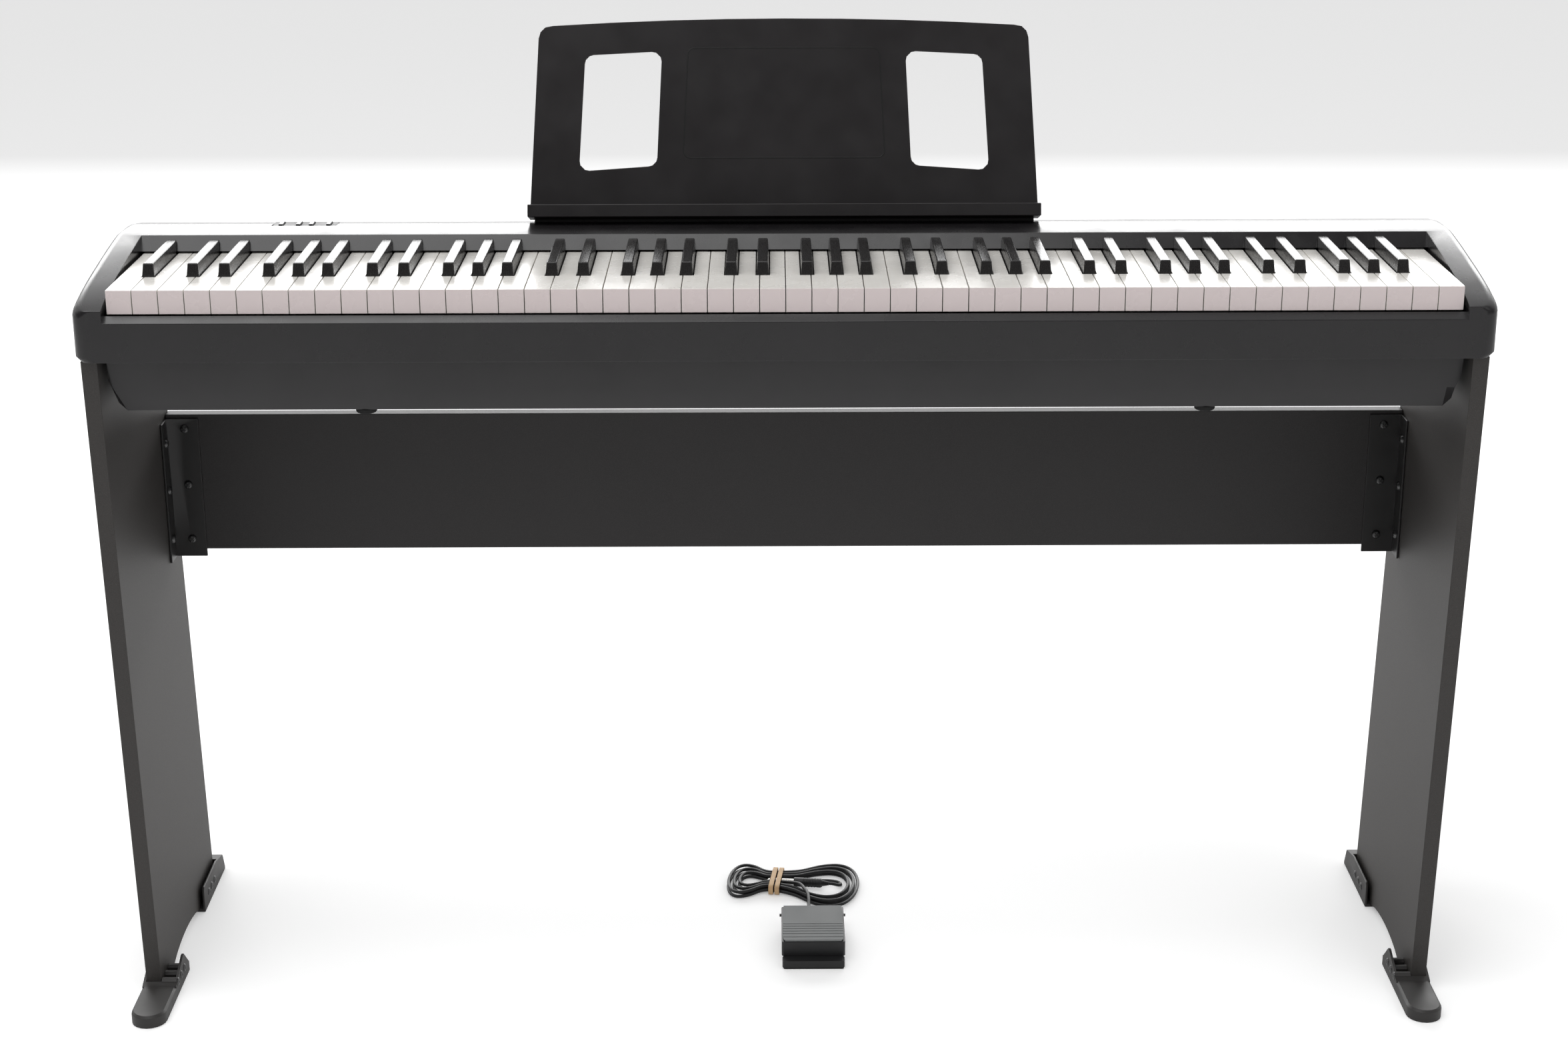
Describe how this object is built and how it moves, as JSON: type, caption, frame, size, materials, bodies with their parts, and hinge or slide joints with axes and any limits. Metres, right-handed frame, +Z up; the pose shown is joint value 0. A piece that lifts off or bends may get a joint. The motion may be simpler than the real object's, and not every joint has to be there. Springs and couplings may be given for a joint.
{
  "type": "digital piano",
  "caption": "Slim upright-stand digital piano with weighted keys, leaning music rest, panel stand and a corded sustain pedal.",
  "frame": {"origin": "on the floor, midway between the stand's left and right and between its front and rear feet", "axes": "+X to the player's right, +Y away from the player, +Z up"},
  "size_m": [1.284, 0.358, 0.9325],
  "materials": {
    "black_key_a_sharp": "matt black moulding",
    "black_key_c_sharp": "matt black moulding",
    "black_key_d_sharp": "matt black moulding",
    "black_key_f_sharp": "matt black moulding",
    "black_key_g_sharp": "matt black moulding",
    "black_keys_high": "matt black moulding",
    "black_keys_low": "matt black moulding",
    "bracket_left": "black painted steel",
    "bracket_right": "black painted steel",
    "button_1": "pale grey gloss",
    "button_2": "pale grey gloss",
    "button_3": "pale grey gloss",
    "button_4": "pale grey gloss",
    "button_plate": "black fine-textured moulding",
    "case_bolt_front_left": "black oxide steel",
    "case_bolt_front_right": "black oxide steel",
    "case_bolt_rear_left": "black oxide steel",
    "case_bolt_rear_right": "black oxide steel",
    "case_foot_front_left": "black rubber",
    "case_foot_front_right": "black rubber",
    "case_foot_rear_left": "black rubber",
    "case_foot_rear_right": "black rubber",
    "cross_panel": "black laminated particle board",
    "front_shoe_left": "black fine-textured moulding",
    "front_shoe_right": "black fine-textured moulding",
    "jack_plate": "black fine-textured moulding",
    "key_chassis": "folded steel",
    "key_felt": "red felt",
    "lower_case": "black fine-textured moulding",
    "main_board": "green circuit board",
    "music_rest": "black fine-textured moulding",
    "pedal_base": "black fine-textured moulding",
    "pedal_cord_hank": "black soft cord jacket",
    "pedal_cord_lead": "black soft cord jacket",
    "pedal_gland": "black fine-textured moulding",
    "pedal_pad": "grey ribbed rubber",
    "pedal_pin": "black oxide steel",
    "pedal_plug": "black fine-textured moulding",
    "pedal_sole": "black rubber",
    "pedal_spring": "spring steel",
    "pedal_treadle": "black fine-textured moulding",
    "rear_shoe_left": "black fine-textured moulding",
    "rear_shoe_right": "black fine-textured moulding",
    "rubber_band_left": "natural rubber",
    "rubber_band_right": "natural rubber",
    "side_panel_left": "black laminated particle board",
    "side_panel_right": "black laminated particle board",
    "speaker_left": "black fine-textured moulding",
    "speaker_right": "black fine-textured moulding",
    "upper_case": "black fine-textured moulding",
    "white_key_a": "ivory-white satin moulding",
    "white_key_b": "ivory-white satin moulding",
    "white_key_c": "ivory-white satin moulding",
    "white_key_d": "ivory-white satin moulding",
    "white_key_e": "ivory-white satin moulding",
    "white_key_f": "ivory-white satin moulding",
    "white_key_g": "ivory-white satin moulding",
    "white_keys_high": "ivory-white satin moulding",
    "white_keys_low": "ivory-white satin moulding"
  },
  "bodies": {
    "instrument": {"bracket_left": "bracket_left", "bracket_right": "bracket_right", "button_plate": "button_plate", "case_bolt_front_left": "case_bolt_front_left", "case_bolt_front_right": "case_bolt_front_right", "case_bolt_rear_left": "case_bolt_rear_left", "case_bolt_rear_right": "case_bolt_rear_right", "case_foot_front_left": "case_foot_front_left", "case_foot_front_right": "case_foot_front_right", "case_foot_rear_left": "case_foot_rear_left", "case_foot_rear_right": "case_foot_rear_right", "cross_panel": "cross_panel", "front_shoe_left": "front_shoe_left", "front_shoe_right": "front_shoe_right", "jack_plate": "jack_plate", "key_chassis": "key_chassis", "key_felt": "key_felt", "lower_case": "lower_case", "main_board": "main_board", "pedal_base": "pedal_base", "pedal_cord_hank": "pedal_cord_hank", "pedal_cord_lead": "pedal_cord_lead", "pedal_gland": "pedal_gland", "pedal_pin": "pedal_pin", "pedal_plug": "pedal_plug", "pedal_sole": "pedal_sole", "pedal_spring": "pedal_spring", "rear_shoe_left": "rear_shoe_left", "rear_shoe_right": "rear_shoe_right", "rubber_band_left": "rubber_band_left", "rubber_band_right": "rubber_band_right", "side_panel_left": "side_panel_left", "side_panel_right": "side_panel_right", "speaker_left": "speaker_left", "speaker_right": "speaker_right", "upper_case": "upper_case"},
    "rest": {"music_rest": "music_rest"},
    "white_bank_low": {"white_keys_low": "white_keys_low"},
    "white_bank_high": {"white_keys_high": "white_keys_high"},
    "black_bank_low": {"black_keys_low": "black_keys_low"},
    "black_bank_high": {"black_keys_high": "black_keys_high"},
    "key_white_c": {"white_key_c": "white_key_c"},
    "key_white_d": {"white_key_d": "white_key_d"},
    "key_white_e": {"white_key_e": "white_key_e"},
    "key_white_f": {"white_key_f": "white_key_f"},
    "key_white_g": {"white_key_g": "white_key_g"},
    "key_white_a": {"white_key_a": "white_key_a"},
    "key_white_b": {"white_key_b": "white_key_b"},
    "key_black_c_sharp": {"black_key_c_sharp": "black_key_c_sharp"},
    "key_black_d_sharp": {"black_key_d_sharp": "black_key_d_sharp"},
    "key_black_f_sharp": {"black_key_f_sharp": "black_key_f_sharp"},
    "key_black_g_sharp": {"black_key_g_sharp": "black_key_g_sharp"},
    "key_black_a_sharp": {"black_key_a_sharp": "black_key_a_sharp"},
    "button_cap_1": {"button_1": "button_1"},
    "button_cap_2": {"button_2": "button_2"},
    "button_cap_3": {"button_3": "button_3"},
    "button_cap_4": {"button_4": "button_4"},
    "treadle": {"pedal_treadle": "pedal_treadle", "pedal_pad": "pedal_pad"}
  },
  "joints": [
    {"name": "rest_lift", "type": "slide", "parent": "instrument", "child": "rest", "axis": [0, 0.299, 0.9542], "range_m": [0, 0.03]},
    {"name": "white_bank_low_hinge", "type": "hinge", "parent": "instrument", "child": "white_bank_low", "pos_m": [0, 0.066, 0.71], "axis": [1, 0, 0], "range_deg": [0, 2.6], "stiffness_Nm_per_rad": 70, "springref_deg": -4.01},
    {"name": "white_bank_high_hinge", "type": "hinge", "parent": "instrument", "child": "white_bank_high", "pos_m": [0, 0.066, 0.71], "axis": [1, 0, 0], "range_deg": [0, 2.6], "stiffness_Nm_per_rad": 70, "springref_deg": -4.01},
    {"name": "black_bank_low_hinge", "type": "hinge", "parent": "instrument", "child": "black_bank_low", "pos_m": [0, 0.066, 0.71], "axis": [1, 0, 0], "range_deg": [0, 2.6], "stiffness_Nm_per_rad": 25, "springref_deg": -4.01},
    {"name": "black_bank_high_hinge", "type": "hinge", "parent": "instrument", "child": "black_bank_high", "pos_m": [0, 0.066, 0.71], "axis": [1, 0, 0], "range_deg": [0, 2.6], "stiffness_Nm_per_rad": 25, "springref_deg": -4.01},
    {"name": "white_key_c_hinge", "type": "hinge", "parent": "instrument", "child": "key_white_c", "pos_m": [-0.05875, 0.066, 0.71], "axis": [1, 0, 0], "range_deg": [0, 2.6], "stiffness_Nm_per_rad": 4, "springref_deg": -4.01},
    {"name": "black_key_c_sharp_hinge", "type": "hinge", "parent": "instrument", "child": "key_black_c_sharp", "pos_m": [-0.0497, 0.066, 0.71], "axis": [1, 0, 0], "range_deg": [0, 2.6], "stiffness_Nm_per_rad": 2.5, "springref_deg": -4.01},
    {"name": "white_key_d_hinge", "type": "hinge", "parent": "instrument", "child": "key_white_d", "pos_m": [-0.03525, 0.066, 0.71], "axis": [1, 0, 0], "range_deg": [0, 2.6], "stiffness_Nm_per_rad": 4, "springref_deg": -4.01},
    {"name": "black_key_d_sharp_hinge", "type": "hinge", "parent": "instrument", "child": "key_black_d_sharp", "pos_m": [-0.0208, 0.066, 0.71], "axis": [1, 0, 0], "range_deg": [0, 2.6], "stiffness_Nm_per_rad": 2.5, "springref_deg": -4.01},
    {"name": "white_key_e_hinge", "type": "hinge", "parent": "instrument", "child": "key_white_e", "pos_m": [-0.01175, 0.066, 0.71], "axis": [1, 0, 0], "range_deg": [0, 2.6], "stiffness_Nm_per_rad": 4, "springref_deg": -4.01},
    {"name": "white_key_f_hinge", "type": "hinge", "parent": "instrument", "child": "key_white_f", "pos_m": [0.01175, 0.066, 0.71], "axis": [1, 0, 0], "range_deg": [0, 2.6], "stiffness_Nm_per_rad": 4, "springref_deg": -4.01},
    {"name": "black_key_f_sharp_hinge", "type": "hinge", "parent": "instrument", "child": "key_black_f_sharp", "pos_m": [0.02, 0.066, 0.71], "axis": [1, 0, 0], "range_deg": [0, 2.6], "stiffness_Nm_per_rad": 2.5, "springref_deg": -4.01},
    {"name": "white_key_g_hinge", "type": "hinge", "parent": "instrument", "child": "key_white_g", "pos_m": [0.03525, 0.066, 0.71], "axis": [1, 0, 0], "range_deg": [0, 2.6], "stiffness_Nm_per_rad": 4, "springref_deg": -4.01},
    {"name": "black_key_g_sharp_hinge", "type": "hinge", "parent": "instrument", "child": "key_black_g_sharp", "pos_m": [0.047, 0.066, 0.71], "axis": [1, 0, 0], "range_deg": [0, 2.6], "stiffness_Nm_per_rad": 2.5, "springref_deg": -4.01},
    {"name": "white_key_a_hinge", "type": "hinge", "parent": "instrument", "child": "key_white_a", "pos_m": [0.05875, 0.066, 0.71], "axis": [1, 0, 0], "range_deg": [0, 2.6], "stiffness_Nm_per_rad": 4, "springref_deg": -4.01},
    {"name": "black_key_a_sharp_hinge", "type": "hinge", "parent": "instrument", "child": "key_black_a_sharp", "pos_m": [0.074, 0.066, 0.71], "axis": [1, 0, 0], "range_deg": [0, 2.6], "stiffness_Nm_per_rad": 2.5, "springref_deg": -4.01},
    {"name": "white_key_b_hinge", "type": "hinge", "parent": "instrument", "child": "key_white_b", "pos_m": [0.08225, 0.066, 0.71], "axis": [1, 0, 0], "range_deg": [0, 2.6], "stiffness_Nm_per_rad": 4, "springref_deg": -4.01},
    {"name": "button_1_press", "type": "slide", "parent": "instrument", "child": "button_cap_1", "axis": [0, 0, -1], "range_m": [0, 0.001], "stiffness_N_per_m": 500, "springref_m": -0.001},
    {"name": "button_2_press", "type": "slide", "parent": "instrument", "child": "button_cap_2", "axis": [0, 0, -1], "range_m": [0, 0.001], "stiffness_N_per_m": 500, "springref_m": -0.001},
    {"name": "button_3_press", "type": "slide", "parent": "instrument", "child": "button_cap_3", "axis": [0, 0, -1], "range_m": [0, 0.001], "stiffness_N_per_m": 500, "springref_m": -0.001},
    {"name": "button_4_press", "type": "slide", "parent": "instrument", "child": "button_cap_4", "axis": [0, 0, -1], "range_m": [0, 0.001], "stiffness_N_per_m": 500, "springref_m": -0.001},
    {"name": "pedal_press", "type": "hinge", "parent": "instrument", "child": "treadle", "pos_m": [0.0275, 0.024, 0.0175], "axis": [1, 0, 0], "range_deg": [0, 3.8], "stiffness_Nm_per_rad": 4, "springref_deg": -5.73, "deforming": ["pedal_spring"]}
  ]
}
